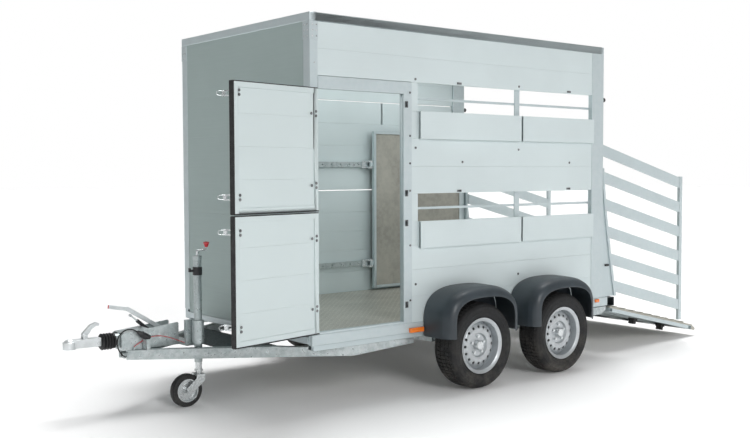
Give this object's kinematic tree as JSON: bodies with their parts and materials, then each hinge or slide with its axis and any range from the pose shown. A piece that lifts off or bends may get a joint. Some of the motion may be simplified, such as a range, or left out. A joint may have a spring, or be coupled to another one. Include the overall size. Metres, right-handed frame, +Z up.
{
  "type": "livestock trailer",
  "caption": "Boxed livestock trailer with a V drawbar, tandem axles, a split side door, folding air-slot shutters, a rear ramp and side gates.",
  "frame": {"origin": "centre of the tow ball socket in the coupling head, which is also the hitching point", "axes": "+X from the coupling to the ramp, along the trailer; +Y to the off side, away from the side door; +Z up"},
  "size_m": [5.3254, 2.044, 2.3535],
  "materials": {
    "galvanised_steel": "satin",
    "zinc_plated": "satin",
    "anodised_aluminium": "satin",
    "panel_white": "satin",
    "white_profile": "satin",
    "checker_aluminium": "satin",
    "silver_rim": "satin",
    "black_plastic": "matte",
    "black_rubber": "matte",
    "tyre_rubber": "matte",
    "amber_lens": "gloss",
    "red_plastic": "gloss"
  },
  "bodies": {
    "chassis": {"chassis_frame": "galvanised_steel", "drawbar": "galvanised_steel", "overrun_housing": "galvanised_steel", "bellows": "black_rubber", "drawbar_fittings": "galvanised_steel", "axles": "galvanised_steel", "mudguards": "black_plastic", "floor_plate": "checker_aluminium", "sill_rails": "anodised_aluminium", "front_wall": "panel_white", "left_wall": "panel_white", "right_wall": "panel_white", "corner_posts": "anodised_aluminium", "roof_panel": "panel_white", "roof_rails": "anodised_aluminium", "door_frame": "anodised_aluminium", "slot_bars": "anodised_aluminium", "rear_fairings": "anodised_aluminium", "rear_frame": "galvanised_steel", "marker_lamps": "amber_lens", "divider_rails": "galvanised_steel", "wall_fasteners": "zinc_plated", "electrical_lead": "black_rubber", "lead_plug": "black_plastic", "breakaway_cable": "red_plastic"},
    "coupling": {"drawtube": "galvanised_steel", "coupling_head": "zinc_plated"},
    "coupling_handle": {"coupling_handle": "zinc_plated"},
    "handbrake_lever": {"handbrake_lever": "zinc_plated"},
    "strut_cylinder": {"strut_cylinder": "black_plastic"},
    "strut_rod": {"strut_rod": "zinc_plated"},
    "jockey_outer": {"jockey_outer_tube": "galvanised_steel"},
    "jockey_inner": {"jockey_inner_tube": "zinc_plated"},
    "jockey_crank": {"jockey_crank": "zinc_plated"},
    "jockey_fork": {"jockey_fork": "zinc_plated"},
    "jockey_wheel": {"jockey_wheel": "black_rubber"},
    "upper_door": {"upper_door_frame": "white_profile", "upper_door_panel": "panel_white"},
    "lower_door": {"lower_door_frame": "white_profile", "lower_door_panel": "panel_white"},
    "upper_door_latches": {"upper_door_latches": "zinc_plated"},
    "lower_door_latches": {"lower_door_latches": "zinc_plated"},
    "left_upper_flaps": {"left_upper_flaps": "panel_white"},
    "left_lower_flaps": {"left_lower_flaps": "panel_white"},
    "right_upper_flaps": {"right_upper_flaps": "panel_white"},
    "right_lower_flaps": {"right_lower_flaps": "panel_white"},
    "ramp": {"ramp_boards": "checker_aluminium", "ramp_frame": "anodised_aluminium"},
    "gate_left": {"gate_left": "anodised_aluminium"},
    "gate_right": {"gate_right": "anodised_aluminium"},
    "divider_carriage": {"divider_carriage": "zinc_plated"},
    "divider": {"divider": "anodised_aluminium"},
    "wheel_front_left": {"tyre_front_left": "tyre_rubber", "rim_front_left": "silver_rim"},
    "wheel_front_right": {"tyre_front_right": "tyre_rubber", "rim_front_right": "silver_rim"},
    "wheel_rear_left": {"tyre_rear_left": "tyre_rubber", "rim_rear_left": "silver_rim"},
    "wheel_rear_right": {"tyre_rear_right": "tyre_rubber", "rim_rear_right": "silver_rim"}
  },
  "joints": [
    {"name": "overrun_slide", "type": "slide", "parent": "chassis", "child": "coupling", "axis": [1, 0, 0], "range_m": [0, 0.06], "deforming": ["bellows"]},
    {"name": "coupling_handle_lift", "type": "hinge", "parent": "coupling", "child": "coupling_handle", "pos_m": [0.091, 0, 0.049], "axis": [0, -1, 0], "range_deg": [0, 40]},
    {"name": "handbrake_pull", "type": "hinge", "parent": "chassis", "child": "handbrake_lever", "pos_m": [0.619, 0.045, 0.028], "axis": [0, 1, 0], "range_deg": [0, 50]},
    {"name": "strut_tilt", "type": "hinge", "parent": "chassis", "child": "strut_cylinder", "pos_m": [0.567, 0.045, -0.004], "axis": [0, 1, 0], "range_deg": [0, 49]},
    {"name": "strut_extend", "type": "slide", "parent": "strut_cylinder", "child": "strut_rod", "axis": [-0.7693, 0, 0.6389], "range_m": [0, 0.0516]},
    {"name": "jockey_lift", "type": "slide", "parent": "chassis", "child": "jockey_outer", "axis": [0, 0, 1], "range_m": [0, 0.09]},
    {"name": "jockey_extend", "type": "slide", "parent": "jockey_outer", "child": "jockey_inner", "axis": [0, 0, -1], "range_m": [-0.04, 0.2]},
    {"name": "jockey_crank_turn", "type": "hinge", "parent": "jockey_outer", "child": "jockey_crank", "pos_m": [0.732, -0.192, 0.5], "axis": [0, 0, -1], "range_deg": [-2401, 12001]},
    {"name": "jockey_swivel", "type": "hinge", "parent": "jockey_inner", "child": "jockey_fork", "pos_m": [0.732, -0.192, -0.22], "axis": [0, 0, 1], "continuous": true},
    {"name": "jockey_wheel_spin", "type": "hinge", "parent": "jockey_fork", "child": "jockey_wheel", "pos_m": [0.646, -0.192, -0.3185], "axis": [0, 1, 0], "continuous": true},
    {"name": "upper_door_swing", "type": "hinge", "parent": "chassis", "child": "upper_door", "pos_m": [1.195, -0.79, 1.1], "axis": [0, 0, 1], "range_deg": [-5, 169.5]},
    {"name": "lower_door_swing", "type": "hinge", "parent": "chassis", "child": "lower_door", "pos_m": [1.195, -0.79, 0.4], "axis": [0, 0, 1], "range_deg": [-5, 169.5]},
    {"name": "upper_latch_turn", "type": "hinge", "parent": "upper_door", "child": "upper_door_latches", "pos_m": [0.56251, -0.91129, 1.1], "axis": [0, 0, -1], "range_deg": [-60, 80]},
    {"name": "lower_latch_turn", "type": "hinge", "parent": "lower_door", "child": "lower_door_latches", "pos_m": [0.56251, -0.91129, 0.4], "axis": [0, 0, -1], "range_deg": [-60, 80]},
    {"name": "left_upper_flap_fold", "type": "hinge", "parent": "chassis", "child": "left_upper_flaps", "pos_m": [2.867, -0.771, 1.385], "axis": [-1, 0, 0], "range_deg": [0, 180]},
    {"name": "left_lower_flap_fold", "type": "hinge", "parent": "chassis", "child": "left_lower_flaps", "pos_m": [2.867, -0.771, 0.679], "axis": [-1, 0, 0], "range_deg": [0, 180]},
    {"name": "right_upper_flap_fold", "type": "hinge", "parent": "chassis", "child": "right_upper_flaps", "pos_m": [2.867, 0.771, 1.385], "axis": [-1, 0, 0], "range_deg": [0, 180]},
    {"name": "right_lower_flap_fold", "type": "hinge", "parent": "chassis", "child": "right_lower_flaps", "pos_m": [2.867, 0.771, 0.679], "axis": [-1, 0, 0], "range_deg": [0, 180]},
    {"name": "ramp_fold", "type": "hinge", "parent": "chassis", "child": "ramp", "pos_m": [4.082, 0, -0.075], "axis": [0, -1, 0], "range_deg": [0, 108]},
    {"name": "gate_left_swing", "type": "hinge", "parent": "chassis", "child": "gate_left", "pos_m": [3.919, -0.722, 0.6], "axis": [0, 0, -1], "range_deg": [-15, 0]},
    {"name": "gate_right_swing", "type": "hinge", "parent": "chassis", "child": "gate_right", "pos_m": [3.919, 0.722, 0.6], "axis": [0, 0, 1], "range_deg": [-15, 0]},
    {"name": "divider_travel", "type": "slide", "parent": "chassis", "child": "divider_carriage", "axis": [1, 0, 0], "range_m": [-1.3, 0.05]},
    {"name": "divider_swing", "type": "hinge", "parent": "divider_carriage", "child": "divider", "pos_m": [2.809, 0.69, 0.6], "axis": [0, 0, -1], "range_deg": [0, 90]},
    {"name": "wheel_spin_front_left", "type": "hinge", "parent": "chassis", "child": "wheel_front_left", "pos_m": [2.372, -0.9125, -0.1375], "axis": [0, 1, 0], "continuous": true},
    {"name": "wheel_spin_front_right", "type": "hinge", "parent": "chassis", "child": "wheel_front_right", "pos_m": [2.372, 0.9125, -0.1375], "axis": [0, 1, 0], "continuous": true},
    {"name": "wheel_spin_rear_left", "type": "hinge", "parent": "chassis", "child": "wheel_rear_left", "pos_m": [3.176, -0.9125, -0.1375], "axis": [0, 1, 0], "continuous": true},
    {"name": "wheel_spin_rear_right", "type": "hinge", "parent": "chassis", "child": "wheel_rear_right", "pos_m": [3.176, 0.9125, -0.1375], "axis": [0, 1, 0], "continuous": true}
  ],
  "couplings": [
    {"joint": "strut_tilt", "follows": "handbrake_pull", "ratio": 0.976},
    {"joint": "strut_extend", "follows": "handbrake_pull", "m_per_rad": 0.0589},
    {"joint": "jockey_crank_turn", "follows": "jockey_extend", "rad_per_m": 1047.2}
  ]
}
